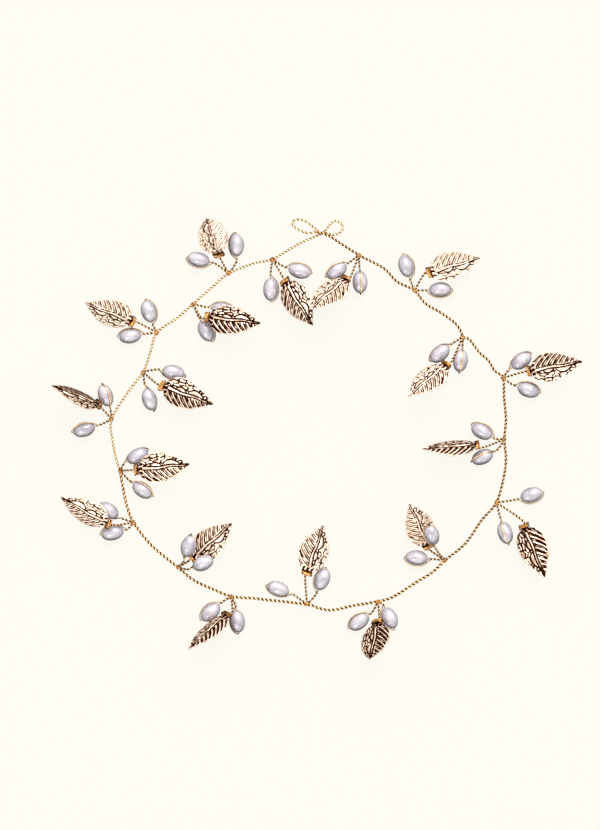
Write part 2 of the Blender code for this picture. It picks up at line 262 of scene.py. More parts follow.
# Each sprig: the leaf's x, y, z, heading, pitch and roll, then for each of its two pearls
# x, y, z, heading, pitch, and the side its return strand lies on, from 0 on top to 90 on the left.
SPRIGS = {
    1: (
        (-35.6, 66.6, 6.0, 108, 43, 0),
        (-28.4, 70.2, 3.0, 92, 0, 110),
        (-43.6, 64.4, 3.0, 168, 0, 90),
    ),
    2: (
        (-9.0, 55.4, 6.8, 302, 20, 15),
        (-3.2, 59.8, 3.0, -15, 0, 80),
        (-14.8, 52.4, 3.0, -90, 0, 90),
    ),
    3: (
        (-40.0, 41.2, 7.6, 354, 12, -15),
        (-34.0, 44.2, 3.0, -10, 0, 100),
        (-40.6, 35.8, 3.0, -62, 0, 100),
    ),
    4: (
        (-70.2, 39.6, 6.4, 159, 26, -24),
        (-63.6, 43.6, 3.0, 108, 0, -80),
        (-71.0, 33.8, 3.0, 188, 0, -70),
    ),
    5: (
        (-58.0, 13.8, 7.4, 340, 10, 5),
        (-53.6, 19.2, 3.0, -12, 0, -120),
        (-63.2, 8.4, 3.0, -72, 0, 140),
    ),
    6: (
        (-83.8, 6.6, 6.8, 157, 28, 62),
        (-80.8, 10.0, 3.0, 109, 0, -25),
        (-89.4, -3.6, 3.0, 196, 0, -50),
    ),
    7: (
        (-68.2, -19.6, 7.4, 6, 14, 0),
        (-68.0, -14.2, 3.0, 28, 0, 130),
        (-66.0, -27.8, 3.0, -35, 0, 45),
    ),
    8: (
        (-79.8, -41.2, 7.4, 151, 12, -32),
        (-79.8, -36.0, 3.0, 150, 0, 130),
        (-78.0, -45.0, 3.0, 193, 0, -75),
    ),
    9: (
        (-46.0, -54.8, 2.8, 41, 18, 0),
        (-47.6, -50.3, 7.6, 73, 14, 150),
        (-41.8, -57.0, 7.6, 25, 14, 150),
    ),
    10: (
        (-32.6, -77.6, 7.4, 221, 24, 60),
        (-38.8, -76.8, 3.0, 222, 0, -85),
        (-28.0, -80.4, 3.0, -84, 0, -110),
    ),
    11: (
        (-0.2, -60.6, 5.6, 71, 26, 5),
        (-11.8, -67.4, 3.0, 160, 0, 120),
        (5.9, -63.6, 3.0, 68, 0, 80),
    ),
    12: (
        (27.9, -80.7, 6.6, 259, 43, 30),
        (20.6, -80.6, 3.0, 215, 0, -70),
        (32.9, -79.0, 3.0, -64, 0, -80),
    ),
    13: (
        (48.1, -50.0, 3.3, 114, 34, 8),
        (49.6, -45.8, 10.3, 105, 32, 110),
        (43.7, -54.9, 3.0, 175, 0, 85),
    ),
    14: (
        (86.6, -42.4, 5.6, 292, 6, 10),
        (89.6, -29.8, 3.0, 17, 0, -85),
        (79.1, -45.0, 3.0, -72, 0, -10),
    ),
    15: (
        (67.6, -9.8, 7.0, 183, 6, 60),
        (69.7, -4.4, 3.0, 151, 0, -75),
        (70.0, -14.6, 3.0, 204, 0, -20),
    ),
    16: (
        (88.6, 19.8, 7.2, 10, 14, 0),
        (85.6, 23.8, 3.0, 35, 0, 120),
        (88.4, 12.2, 3.0, -18, 0, 70),
    ),
    17: (
        (55.2, 22.2, 7.8, 219, 28, 36),
        (53.0, 26.7, 3.0, 220, 0, -120),
        (61.2, 23.9, 3.0, 262, 0, 10),
    ),
    18: (
        (49.0, 59.2, 6.0, 16, 22, 8),
        (39.4, 61.8, 3.0, 107, 0, -80),
        (53.1, 52.4, 3.0, 3, 0, -80),
    ),
    19: (
        (15.2, 56.5, 7.6, 220, 32, 36),
        (11.6, 59.9, 3.0, 213, 0, -50),
        (21.0, 55.4, 3.0, -88, 0, 10),
    ),
}
CARRIERS = {
    "vine_left": (2, 1, 3, 4, 5, 6),
    "vine_middle": (7, 8, 9, 10, 11, 12, 13),
    "vine_right": (14, 15, 16, 17, 18, 19),
}
# The leaves up to this one lie with the stamp's two smooth cells on their left, the rest with
# them on their right, as if turned over.
LAST_LEFT_HANDED_LEAF = 7
# How deep each leaf's painted shade is, for how it mirrors the light: 0 pale champagne, over 1 deep
# bronze.
LEAF_PAINTED_SHADE = {
    1: 0.0, 2: 0.7, 3: 1.05, 4: 0.3, 5: 0.9, 6: 0.95, 7: 0.73, 8: 0.38, 9: 0.47, 10: 0.9,
    11: 0.45, 12: 1.1, 13: 0.2, 14: 1.2, 15: 0.88, 16: 0.7, 17: 0.38, 18: 0.2, 19: 0.35,
}
# The leaves whose tips curl up.
CURLED_LEAVES = (1, 12)


# ---------------------------------------------------------------- frames and routes


def placed(x, y, z, heading, pitch, roll):
    """The frame at a point about the ring's middle: +X along the heading, pitched, then rolled."""
    return (
        Matrix.Translation(Vector((x, y, z)) + RING_MIDDLE)
        @ Matrix.Rotation(math.radians(heading), 4, "Z")
        @ Matrix.Rotation(math.radians(-pitch), 4, "Y")
        @ Matrix.Rotation(math.radians(roll), 4, "X")
    )


def leaf_frame(number):
    """The frame of a leaf's neck, with +X to its tip and +Z out of its stamped side."""
    return placed(*SPRIGS[number][0])


def pearl_frame(pearl):
    """The pearl's middle, with +X along its bore, away from the stem, and +Z to its strand."""
    *place, side = pearl
    return placed(*place, -side)


def axis(matrix, index):
    """The direction of a frame's X, Y or Z axis, by its index."""
    return np.array(matrix.col[index][:3])


def moved(matrix, points):
    """An array of points, taken from a frame into the part's frame."""
    matrix = np.array(matrix)
    return np.asarray(points, float) @ matrix[:3, :3].T + matrix[:3, 3]


def on_ring(point, height=VINE_HEIGHT):
    """A route's point in the part's frame. A third number is its own height."""
    x, y, *rest = point
    return np.array(Vector((x, y, rest[0] if rest else height)) + RING_MIDDLE)


def curve_through(points, step, closed=False):
    """An array of points on a Catmull-Rom curve, evenly about step apart."""
    points = [np.array(point, float) for point in points]
    if closed:
        ends = [points[-1], *points, points[0], points[1]]
    else:
        ends = [2 * points[0] - points[1], *points, 2 * points[-1] - points[-2]]
    route = []
    t = np.linspace(0, 1, CURVE_STEPS, endpoint=False)[:, None]
    for before, start, end, after in zip(ends, ends[1:], ends[2:], ends[3:]):
        route.append(
            0.5
            * (
                2 * start
                + (end - before) * t
                + (2 * before - 5 * start + 4 * end - after) * t**2
                + (3 * start - before - 3 * end + after) * t**3
            )
        )
    route.append((points[0] if closed else points[-1])[None])
    route = np.concatenate(route)
    along = distances(route)
    count = max(2, round(along[-1] / step)) + 1
    even = np.linspace(0, along[-1], count)
    route = np.stack([np.interp(even, along, route[:, k]) for k in range(3)], axis=1)
    return route[:-1] if closed else route


def distances(path):
    """How far each point of a path lies along it."""
    return np.concatenate([[0], np.cumsum(np.linalg.norm(np.diff(path, axis=0), axis=1))])


def tangents(path, closed=False):
    """The direction of a path at each of its points."""
    if closed:
        along = np.roll(path, -1, axis=0) - np.roll(path, 1, axis=0)
    else:
        along = np.gradient(path, axis=0)
    return along / np.linalg.norm(along, axis=1)[:, None]


def carried_normals(along):
    """A normal at each point of a path, carried along it without twisting."""
    upright = abs(along[0][2]) >= 0.9
    normal = np.array((1.0, 0.0, 0.0)) if upright else np.array((0.0, 0.0, 1.0))
    normals = []
    for direction in along:
        normal = normal - direction * (normal @ direction)
        normal = normal / np.linalg.norm(normal)
        normals.append(normal)
    return np.array(normals)


# ---------------------------------------------------------------- meshes


class Shell:
    """Gathers closed skins into one mesh, with a painted shade and a tint at every point."""

    def __init__(self):
        self.points, self.faces, self.shades, self.tints = [], [], [], []
        self.count = 0

    def add(self, points, faces, shade=0.0, tint=0.0):
        self.points.append(points)
        self.faces += [tuple(corner + self.count for corner in face) for face in faces]
        self.shades.append(np.broadcast_to(shade, len(points)))
        self.tints.append(np.broadcast_to(tint, len(points)))
        self.count += len(points)

    def make(self, name, material):
        mesh = bpy.data.meshes.new(name)
        points = np.concatenate(self.points) * MM
        mesh.from_pydata(points.tolist(), [], self.faces)
        for label, values in (("shade", self.shades), ("tint", self.tints)):
            layer = mesh.attributes.new(label, "FLOAT", "POINT")
            layer.data.foreach_set("value", np.concatenate(values).astype(np.float32))
        mesh.shade_smooth()
        mesh.materials.append(material)
        obj = bpy.data.objects.new(name, mesh)
        bpy.context.scene.collection.objects.link(obj)
        return obj


def ring_faces(rings, sides, closed):
    """The quads between rings of points that follow each other."""
    faces = []
    for i in range(rings if closed else rings - 1):
        here, there = i * sides, (i + 1) % rings * sides
        for j in range(sides):
            k = (j + 1) % sides
            faces.append((here + j, here + k, there + k, there + j))
    return faces


def sheet_faces(rows, columns):
    """The faces of a thin sheet: its top's points come first, in rows, and then its bottom's."""
    size = rows * columns
    faces = []
    for i in range(rows - 1):
        for j in range(columns - 1):
            a = i * columns + j
            b, c, d = a + columns, a + columns + 1, a + 1
            faces.append((a, b, c, d))
            faces.append((size + a, size + d, size + c, size + b))
    border = (
        [(i, 0) for i in range(rows)]
        + [(rows - 1, j) for j in range(1, columns)]
        + [(i, columns - 1) for i in range(rows - 2, -1, -1)]
        + [(0, j) for j in range(columns - 2, 0, -1)]
    )
    border = [i * columns + j for i, j in border]
    for a, b in zip(border, border[1:] + border[:1]):
        faces.append((b, a, size + a, size + b))
    return faces


# ---------------------------------------------------------------- wire


def add_strand(
    shell, path, tint, radius=STRAND_RADIUS, partner=None, dark=0.0, flanks=None, closed=False
):
    """One round wire along a path, with painted shade in the crease where it lies against other
    wire.

    That is its side towards its partner, over a band that widens with the painted darkness asked
    for. In a coil it is its flanks, where the next turns lie.
    """
    along = tangents(path, closed)
    normals = carried_normals(along)
    sideways = np.cross(along, normals)
    turn = np.linspace(0, 2 * math.pi, STRAND_SIDES, endpoint=False)[None, :, None]
    outward = normals[:, None] * np.cos(turn) + sideways[:, None] * np.sin(turn)
    points = path[:, None] + outward * radius
    # Painted shade in the crease: on a coil's flanks, or on the side towards the partner strand.
    if partner is None:
        painted_crease_shade = np.clip((np.abs(outward @ flanks) - 0.25) / 0.35, 0, 1)
    else:
        toward = partner - path
        toward /= np.maximum(np.linalg.norm(toward, axis=1), 1e-9)[:, None]
        facing = (outward * toward[:, None]).sum(axis=2)
        painted_crease_shade = np.clip((facing + dark) / 0.5, 0, 1)
    rings = len(path)
    faces = ring_faces(rings, STRAND_SIDES, closed)
    if not closed:
        faces.append(tuple(range(STRAND_SIDES))[::-1])
        last = (rings - 1) * STRAND_SIDES
        faces.append(tuple(last + j for j in range(STRAND_SIDES)))
    tint = np.repeat(np.broadcast_to(tint, rings), STRAND_SIDES)
    shell.add(points.reshape(-1, 3), faces, painted_crease_shade.reshape(-1), tint)


def add_strands(shell, first, second, **options):
    """Two strands that lie against each other."""
    add_strand(shell, first, partner=second, **options)
    add_strand(shell, second, partner=first, **options)


def twisted_pair(path, pitch, apart=STRAND_RADIUS, end_side=None, closed=False):
    """The paths of two strands that turn about a shared path. end_side is where the first ends."""
    along = tangents(path, closed)
    normals = carried_normals(along)
    sideways = np.cross(along, normals)
    turn = 2 * math.pi * distances(path) / pitch
    if closed:
        # A whole number of turns, so that each strand meets itself
        length = distances(path)[-1] + np.linalg.norm(path[0] - path[-1])
        turns = round(length / pitch)
        turn = 2 * math.pi * turns * distances(path) / length
    if end_side is not None:
        wanted = math.atan2(end_side @ sideways[-1], end_side @ normals[-1])
        turn = turn - turn[-1] + wanted
    offset = normals * np.cos(turn)[:, None] + sideways * np.sin(turn)[:, None]
    return path + offset * apart, path - offset * apart


def add_stem(shell, path, end_side=None):
    """The twisted pair from a knot to a leaf or a pearl, with painted shade over most of each
    strand.
    """
    first, second = twisted_pair(path, STEM_PITCH, end_side=end_side)
    add_strands(shell, first, second, tint=0.15, dark=1.0)


def add_coil(shell, start, along, turns, radius, spacing, tint, wire=STRAND_RADIUS, phase=0.0):
    """A short tight coil about a straight line through start."""
    along = along / np.linalg.norm(along)
    normal = carried_normals(along[None])[0]
    sideways = np.cross(along, normal)
    count = round(turns * COIL_STEPS) + 1
    turn = phase + np.linspace(0, 2 * math.pi * turns, count)
    advance = spacing * (turn - turn.mean()) / (2 * math.pi)
    path = (
        start
        + along * advance[:, None]
        + (normal * np.cos(turn)[:, None] + sideways * np.sin(turn)[:, None]) * radius
    )
    # Painted shade on its flanks, where the next turns lie.
    add_strand(shell, path, tint, radius=wire, flanks=along)


def pearl_loop():
    """The strand through the bore and back along the outside, in the pearl's frame."""
    outline = [
        (-STRANDS_MEET, 0, -STRAND_RADIUS),
        (-5.5, 0, -0.12),
        (-4.8, 0, 0),
        (0, 0, 0),
        (4.5, 0, 0),
        (4.9, 0, 0.28),
        (LOOP_REACH, 0, 0.75),
    ]
    for angle in np.radians(np.linspace(24, 156, 12)):
        outline.append((LOOP_REACH * math.cos(angle), 0, LOOP_RISE * math.sin(angle)))
    outline += [(-5.1, 0, 0.82), (-5.6, 0, 0.42), (-STRANDS_MEET, 0, STRAND_RADIUS)]
    return curve_through(outline, STRAND_STEP)


def stem_path(start, end, heading):
    """From a knot almost straight to a pearl, turning into its bore at the last."""
    length = np.linalg.norm(end - start)
    lead = end - heading * STEM_LEAD * length
    t = np.linspace(0, 1, max(4, round(length / STRAND_STEP)) + 1)[:, None]
    return start * (1 - t) ** 2 + 2 * lead * t * (1 - t) + end * t**2


def sprig_wires(number):
    """The stems, the pearl strands and the knot of one sprig."""
    shell = Shell()
    knot = on_ring(KNOTS[number])
    behind, under = moved(leaf_frame(number), [(-2.8, 0, -1.2), (0.7, 0, -0.95)])
    add_stem(shell, curve_through([knot, behind, under], STRAND_STEP))
    ends = [behind]
    for pearl in SPRIGS[number][1:]:
        frame_of_pearl = pearl_frame(pearl)
        end = moved(frame_of_pearl, [(-STRANDS_MEET, 0, 0)])[0]
        ends.append(end)
        path = stem_path(knot, end, axis(frame_of_pearl, 0))
        add_stem(shell, path, end_side=axis(frame_of_pearl, 2))
        loop = moved(frame_of_pearl, pearl_loop())
        bore = moved(frame_of_pearl, pearl_loop() * (1, 1, 0))
        # Painted shade on the strand's side towards the pearl.
        add_strand(shell, loop, tint=0.12, radius=LOOP_WIRE, partner=bore, dark=0.35)
    # The wire is wound round the foot of each stem.
    for i, end in enumerate(ends):
        away = end - knot
        start = knot + away / np.linalg.norm(away) * 0.75
        add_coil(shell, start, away, turns=1.6, radius=0.5, spacing=0.42, tint=0.55, phase=i * 2.1)
    return shell


def binding(number):
    """The turns of wire that hold a leaf to its stem: uneven loops that lie across each other."""
    random = np.random.default_rng(100 + number)
    frame_of_leaf = leaf_frame(number)
    shell = Shell()
    turn = np.linspace(0, 2 * math.pi, BINDING_STEPS, endpoint=False)
    cos, sin = np.cos(turn), np.sin(turn)
    # Painted shade on the flanks of each turn, where the next turn lies.
    flanks = axis(frame_of_leaf, 0)
    for place, tint, crossing in BINDING_TURNS:
        proud = 0.24 if crossing else random.uniform(-0.08, 0.08) - 0.2 * place**2
        lean = random.uniform(0.3, 0.38) if crossing else random.uniform(-0.12, 0.12)
        lean *= 1 if number % 2 else -1
        across = (BINDING_REACH + proud) * np.sign(cos) * np.abs(cos) ** 0.85
        up = (BINDING_RISE + 0.5 * proud) * np.sign(sin) * np.abs(sin) ** 0.6
        along = place + lean * across + random.uniform(-0.12, 0.12) * up
        path = moved(frame_of_leaf, np.stack([along, across, up], axis=1))
        add_strand(shell, path, tint, radius=BINDING_WIRE, flanks=flanks, closed=True)
    return shell


# ---------------------------------------------------------------- leaves


def bump(distance, width):
    """1 at no distance, falling off on both sides like a bell."""
    return np.exp(-((distance / width) ** 2))


def line(distance, strength=1.0):
    """1 on a line, down to 0 at its reach. The material paints shade, red-brown to black, where it
    is near 1.
    """
    return strength * np.clip(1 - np.abs(distance) / LINE_REACH, 0, 1)


def pillow(away):
    """The height of what swells up between lines, by the distance from the nearest."""
    return RELIEF * np.sqrt(np.clip(away, 0, 1))


def vein_sweep(side):
    """How far towards the tip a side vein has swept at a distance from the midrib."""
    return 0.45 * side + 0.085 * side**2


def midrib(x, y):
    """The ridge along the middle, from 0 to 1, and the lines on either side of it."""
    width = 0.16 + 0.26 * np.clip((LEAF_LENGTH - x) / LEAF_LENGTH, 0, 1)
    away = y - 0.22 * np.sin(x * 0.55)
    lines = np.maximum(line(away - 1.9 * width), line(away + 1.9 * width, 0.85))
    return bump(away, width), lines


def veined_side(x, side, fine):
    """The height and lines of the side with veins, which sweep outward and towards the tip.

    A fine vein lies between two lines. Otherwise each vein is cut as one bold line.
    """
    phase = (x - vein_sweep(side) - 2.6) / VEIN_SPACING
    first = (phase - np.round(phase)) * VEIN_SPACING
    second = (phase - 0.4 - np.round(phase - 0.4)) * VEIN_SPACING
    root = np.clip((side - 0.5) / 0.6, 0, 1)
    if fine:
        lines = np.maximum(line(0.8 * first), line(0.85 * second, 0.72)) * root
    else:
        lines = line(0.5 * first) * root
    return pillow(np.minimum(np.abs(first), np.abs(second))), lines


def leaf_net(x, side):
    """The height and lines of the net: wavy rows along the midrib, cut in places into cells."""
    random = np.random.default_rng(11)
    strengths = random.uniform(0.45, 1.15, (NET_ROWS, NET_COLUMNS))
    shifts = random.uniform(-0.8, 0.8, NET_ROWS)
    wavy = side + 0.22 * np.sin(1.9 * x + 0.6) + 0.12 * np.sin(3.3 * x + 1.5 * side)
    row = (wavy - 0.5) / NET_ROW
    between = np.clip(np.floor(row).astype(int), 0, NET_ROWS - 1)
    cell = (x + 0.35 * side + NET_CELL / 2 * (between % 2) + shifts[between]) / NET_CELL
    row_away = np.abs(row - np.round(row)) * NET_ROW
    cell_away = np.abs(cell - np.round(cell)) * NET_CELL
    column = np.clip(np.floor(cell).astype(int), 0, NET_COLUMNS - 1)
    strength = strengths[np.clip(np.round(row).astype(int), 0, NET_ROWS - 1), column]
    lines = np.maximum(line(row_away, strength), line(cell_away, 0.8))
    return pillow(np.minimum(row_away, cell_away)), lines


def netted_side(x, side):
    """The height and lines of the side with two smooth cells by the midrib and a net outside."""
    net_height, net_lines = leaf_net(x, side)
    inside = np.zeros_like(x, bool)
    cell_lines = np.zeros_like(x)
    cell_height = np.zeros_like(x)
    for start, end, reach in SMOOTH_CELLS:
        t = np.clip((x - start) / (end - start), 0, 1)
        edge = 0.4 + reach * np.sin(math.pi * t**0.8) ** 0.8
        here = (t > 0) & (t < 1)
        within = here & (side < edge)
        depth = np.clip((edge - side) / reach, 0, 1)
        crown = CELL_RISE * np.sin(math.pi * depth) * np.sin(math.pi * t)
        inside |= within
        cell_lines = np.maximum(cell_lines, np.where(here, line(side - edge, 1.1), 0))
        cell_height = np.where(within, crown, cell_height)
    lines = np.where(inside, cell_lines, np.maximum(net_lines, cell_lines))
    return np.where(inside, cell_height, net_height), lines


def leaf_relief(x, y, seed, fine):
    """The stamp's height and how near its lines of painted shade are, with the netted side towards
    +y.
    """
    side = np.abs(y)
    rib, rib_lines = midrib(x, y)
    vein_height, vein_lines = veined_side(x, side, fine)
    net_height, net_lines = netted_side(x, side)
    lines = np.where(y > 0, net_lines, vein_lines)
    height = np.where(y > 0, net_height, vein_height) - RELIEF * np.clip(lines, 0, 1)
    height = height * (1 - rib) + RIB_RISE * rib
    lines = np.maximum(lines * (1 - rib), rib_lines)
    # The stamp fades out towards the neck, and the painted shade in its lines is deeper in some
    # places than in others.
    fade = np.clip((x - 1.4) / 1.6, 0, 1)
    painted_shade_variation = 0.93 + 0.3 * np.sin(1.7 * x + 0.9 * y + seed) * np.sin(1.4 * y - 0.8 * x + 2 * seed)
    lines = lines * fade * np.clip(painted_shade_variation, 0.6, 1.1)
    # Painted shadow darkens the neck under the binding, and stripes of painted shade, as if it were
    # gathered into ridges, mark it where it comes out.
    under = 0.8 * np.clip((1.0 - x) / 0.5, 0, 1)
    ridges = 0.5 + 0.5 * np.cos(3.6 * y + 0.8 * np.sin(2.3 * x + seed))
    painted_ridge_shade = (0.3 + 0.5 * ridges) * np.clip((3.0 - x) / 0.9, 0, 1)
    return height * fade, np.maximum(lines, np.maximum(under, painted_ridge_shade))


def leaf_grid():
    """The x and y of a flat leaf's mesh, in rows across it, and how near the rim each point is."""
    outline = curve_through([(x, half, 0) for x, half in LEAF_OUTLINE], 0.1)
    x = np.linspace(outline[0, 0], LEAF_LENGTH, LEAF_ROWS)
    # The rows follow the side veins. Where each row meets the rim is found by halving.
    bend = np.clip((x - 0.9) / 2.6, 0, 1)
    reach = np.interp(x, outline[:, 0], outline[:, 1])
    for _ in range(40):
        half = np.interp(x + bend * vein_sweep(reach), outline[:, 0], outline[:, 1])
        reach = (reach + half) / 2
    v = np.linspace(-1, 1, LEAF_COLUMNS + 1)
    v = v * (1 - 0.12 * (1 - v**2))
    # Teeth: the rim steps in after each one.
    tooth = (x / TOOTH_LENGTH) % 1.0
    depth = TOOTH_DEPTH * np.clip((x - 2.2) / 2, 0, 1) * np.clip((LEAF_LENGTH - x) / 3, 0, 1)
    y = v * (reach - depth * (1 - tooth))[:, None]
    x = x[:, None] + bend[:, None] * vein_sweep(np.abs(y))
    rim = np.clip((np.abs(v) - 0.93) / 0.07, 0, 1)
    return x, y, rim


def leaf(number):
    """A stamped sheet in the leaf's outline, with a serrated edge: +X to the tip, +Z outward."""
    x, y, rim = leaf_grid()
    handed = 1 if number <= LAST_LEFT_HANDED_LEAF else -1
    on_edge = abs(SPRIGS[number][0][5]) > ON_EDGE_ROLL
    height, lines = leaf_relief(x, y * handed, number, not on_edge)
    height, lines = height * (1 - rim), lines * (1 - rim)
    widest = max(half for _, half in LEAF_OUTLINE)
    base = -LEAF_DOME * (y / widest) ** 2 - LEAF_ARCH * (x / LEAF_LENGTH) ** 2
    if number in CURLED_LEAVES:
        curl = np.clip(x - CURL_START, 0, None) ** 2
        x, base = x - 0.011 * curl, base + 0.02 * curl
    # Leaves with deeper painted shade have broader lines of it, and browner patches between them,
    # partly random tone and partly painted shade.
    painted_shade_depth = LEAF_PAINTED_SHADE[number]
    dark = np.clip(lines * (0.74 + 0.68 * painted_shade_depth), 0, 1)
    patch = 0.5 + 0.5 * np.sin(0.9 * x + number) * np.sin(1.1 * y + 0.7 * number)
    brown_and_painted_shade = (0.15 + 0.55 * painted_shade_depth) * np.clip(patch * 1.8 - 0.7, 0, 1)
    sides = [
        np.stack([x, y, base + height + offset], axis=2).reshape(-1, 3)
        for offset in (LEAF_SHEET / 2, -LEAF_SHEET / 2)
    ]
    points = moved(leaf_frame(number), np.concatenate(sides))
    shell = Shell()
    shell.add(points, sheet_faces(*x.shape), np.tile(dark.ravel(), 2), np.tile(brown_and_painted_shade.ravel(), 2))
    return shell


# ---------------------------------------------------------------- pearls


def pearl(number, index):
    """An oval pearl about its bore, a little uneven as grown pearls are."""
    start = math.asin(PEARL_BORE / (PEARL_WIDTH / 2))
    turn = np.linspace(0, 2 * math.pi, PEARL_SIDES, endpoint=False)
    rings = []
    for angle in np.linspace(start, math.pi - start, PEARL_STATIONS):
        x, radius = PEARL_LENGTH / 2 * math.cos(angle), PEARL_WIDTH / 2 * math.sin(angle)
        ring = [np.full_like(turn, x), radius * np.cos(turn), radius * np.sin(turn)]
        rings.append(np.stack(ring, axis=1))
    points = np.concatenate(rings)
    seed = number * 2 + index
    ripple = (
        np.sin(points[:, 0] * 1.3 + seed) * np.sin(points[:, 1] * 0.9 + 2 * seed)
        + 0.6 * np.sin(points[:, 2] * 1.7 - seed)
    )
    # The ripple moves points in towards the bore, not along it.
    inward = 1 - PEARL_RIPPLE * (1 + ripple)[:, None]
    points = points * np.where(np.arange(3) > 0, inward, 1)
    shell = Shell()
    # The last ring joins the first through the bore.
    faces = ring_faces(PEARL_STATIONS, PEARL_SIDES, True)
    shell.add(moved(pearl_frame(SPRIGS[number][1 + index]), points), faces)
    return shell


# ---------------------------------------------------------------- materials


def new_material(name):
    material = bpy.data.materials.new(name)
    material.use_nodes = True
    nodes = material.node_tree.nodes
    return material, nodes, material.node_tree.links, nodes["Principled BSDF"]


def attribute(nodes, name):
    node = nodes.new("ShaderNodeAttribute")
    node.attribute_name = name
    return node.outputs["Fac"]


def noise(nodes, links, scale, detail=2.0):
    where = nodes.new("ShaderNodeTexCoord")
    node = nodes.new("ShaderNodeTexNoise")
    node.inputs["Scale"].default_value = scale
    node.inputs["Detail"].default_value = detail
    links.new(where.outputs["Object"], node.inputs["Vector"])
    return node.outputs["Fac"]


def ramp(nodes, links, factor, *stops):
    """A number turned into a colour or a grey by (place, value) stops."""
    node = nodes.new("ShaderNodeValToRGB")
    links.new(factor, node.inputs["Fac"])
    for element, (place, value) in zip(node.color_ramp.elements, stops):
        element.position = place
        element.color = (*value, 1) if isinstance(value, tuple) else (value, value, value, 1)
    return node.outputs["Color"]


def calculated(nodes, links, operation, *values, clamp=False):
    """The result of a Math node on sockets and plain numbers."""
    node = nodes.new("ShaderNodeMath")
    node.operation = operation
    node.use_clamp = clamp
    for socket, value in zip(node.inputs, values):
        if isinstance(value, float):
            socket.default_value = value
        else:
            links.new(value, socket)
    return node.outputs[0]


def mixed(nodes, links, factor, first, second):
    """From the first colour to the second by the factor. Each is a socket or an RGB colour."""
    node = nodes.new("ShaderNodeMix")
    node.data_type = "RGBA"
    links.new(factor, node.inputs["Factor"])
    for name, value in (("A", first), ("B", second)):
        if isinstance(value, tuple):
            node.inputs[name].default_value = (*value, 1)
        else:
            links.new(value, node.inputs[name])
    return node.outputs["Result"]


def bumped(nodes, links, shader, height, strength, distance):
    """Fine unevenness in the surface. The distance is in metres."""
    node = nodes.new("ShaderNodeBump")
    node.inputs["Strength"].default_value = strength
    node.inputs["Distance"].default_value = distance
    links.new(height, node.inputs["Height"])
    links.new(node.outputs["Normal"], shader.inputs["Normal"])


def wire_material():
    """Light gold wire, copper where it is wound tight, with painted shade, near black, in the
    creases between strands.
    """
    gold, copper, painted_crease_shade = (1.0, 0.76, 0.42), (1.0, 0.43, 0.11), (0.045, 0.007, 0.002)
    material, nodes, links, shader = new_material("gold_wire")
    shader.inputs["Metallic"].default_value = 1.0
    shader.inputs["Specular Tint"].default_value = (1.0, 0.6, 0.35, 1)
    patches = ramp(nodes, links, noise(nodes, links, 260.0), (0.45, 0.0), (0.75, 0.35))
    wound = calculated(nodes, links, "ADD", attribute(nodes, "tint"), patches, clamp=True)
    colour = mixed(nodes, links, wound, gold, copper)
    # Painted crease shade: near black where the shade attribute is high.
    colour = mixed(nodes, links, attribute(nodes, "shade"), colour, painted_crease_shade)
    links.new(colour, shader.inputs["Base Color"])
    rough = ramp(nodes, links, noise(nodes, links, 3000.0), (0.3, 0.18), (0.7, 0.34))
    rough = mixed(nodes, links, attribute(nodes, "shade"), rough, CREASE_ROUGHNESS)
    links.new(rough, shader.inputs["Roughness"])
    grain = noise(nodes, links, 5200.0, detail=3.0)
    bumped(nodes, links, shader, grain, strength=0.25, distance=0.00005)
    return material


def leaf_material():
    """Rose-gold plate: pale on the raised cells, with painted shade, red-brown to black, in the
    stamped lines.
    """
    material, nodes, links, shader = new_material("rose_gold_leaf")
    shader.inputs["Metallic"].default_value = 0.55
    shader.inputs["Specular IOR Level"].default_value = 0.2
    shader.inputs["Specular Tint"].default_value = (1.0, 0.55, 0.35, 1)
    brown_and_painted_shade, near_line = attribute(nodes, "tint"), attribute(nodes, "shade")
    broad, small = noise(nodes, links, 320.0), noise(nodes, links, 520.0)
    pale = mixed(nodes, links, broad, (1.0, 0.86, 0.72), (1.0, 0.77, 0.61))
    deep = mixed(nodes, links, small, (0.62, 0.36, 0.22), (0.30, 0.15, 0.08))
    # Brown patches: partly random tone, partly painted shade for how each leaf mirrors the light.
    plate = mixed(nodes, links, brown_and_painted_shade, pale, deep)
    # Painted shade in the lines: a red-brown fringe, black at the middle.
    fringe, black = (0.44, (0.48, 0.17, 0.06)), (0.55, (0.018, 0.003, 0.001))
    painted_line_shade = ramp(nodes, links, near_line, fringe, black)
    edge = ramp(nodes, links, near_line, (0.40, 0.0), (0.53, 1.0))
    links.new(mixed(nodes, links, edge, plate, painted_line_shade), shader.inputs["Base Color"])
    rough = ramp(nodes, links, noise(nodes, links, 2400.0, detail=3.0), (0.3, 0.18), (0.7, 0.32))
    rough = mixed(nodes, links, edge, rough, CREASE_ROUGHNESS)
    links.new(rough, shader.inputs["Roughness"])
    grain = noise(nodes, links, 3800.0, detail=4.0)
    bumped(nodes, links, shader, grain, strength=0.3, distance=0.00008)
    return material


def pearl_material():
    """Silvery nacre with a cool lilac cast, clouded darker and lighter, under a clear coat."""
    material, nodes, links, shader = new_material("pearl_nacre")
    cloud = ramp(nodes, links, noise(nodes, links, 330.0, detail=3.0), (0.35, 0.0), (0.65, 1.0))
    colour = mixed(nodes, links, cloud, (0.36, 0.335, 0.4), (0.55, 0.51, 0.575))
    links.new(colour, shader.inputs["Base Color"])
    shader.inputs["Metallic"].default_value = 0.15
    shader.inputs["Roughness"].default_value = 0.22
    shader.inputs["Specular IOR Level"].default_value = 0.6
    shader.inputs["Coat Weight"].default_value = 0.8
    shader.inputs["Coat Roughness"].default_value = 0.06
    wrinkles = noise(nodes, links, 900.0, detail=3.0)
    bumped(nodes, links, shader, wrinkles, strength=0.12, distance=0.0001)
    return material


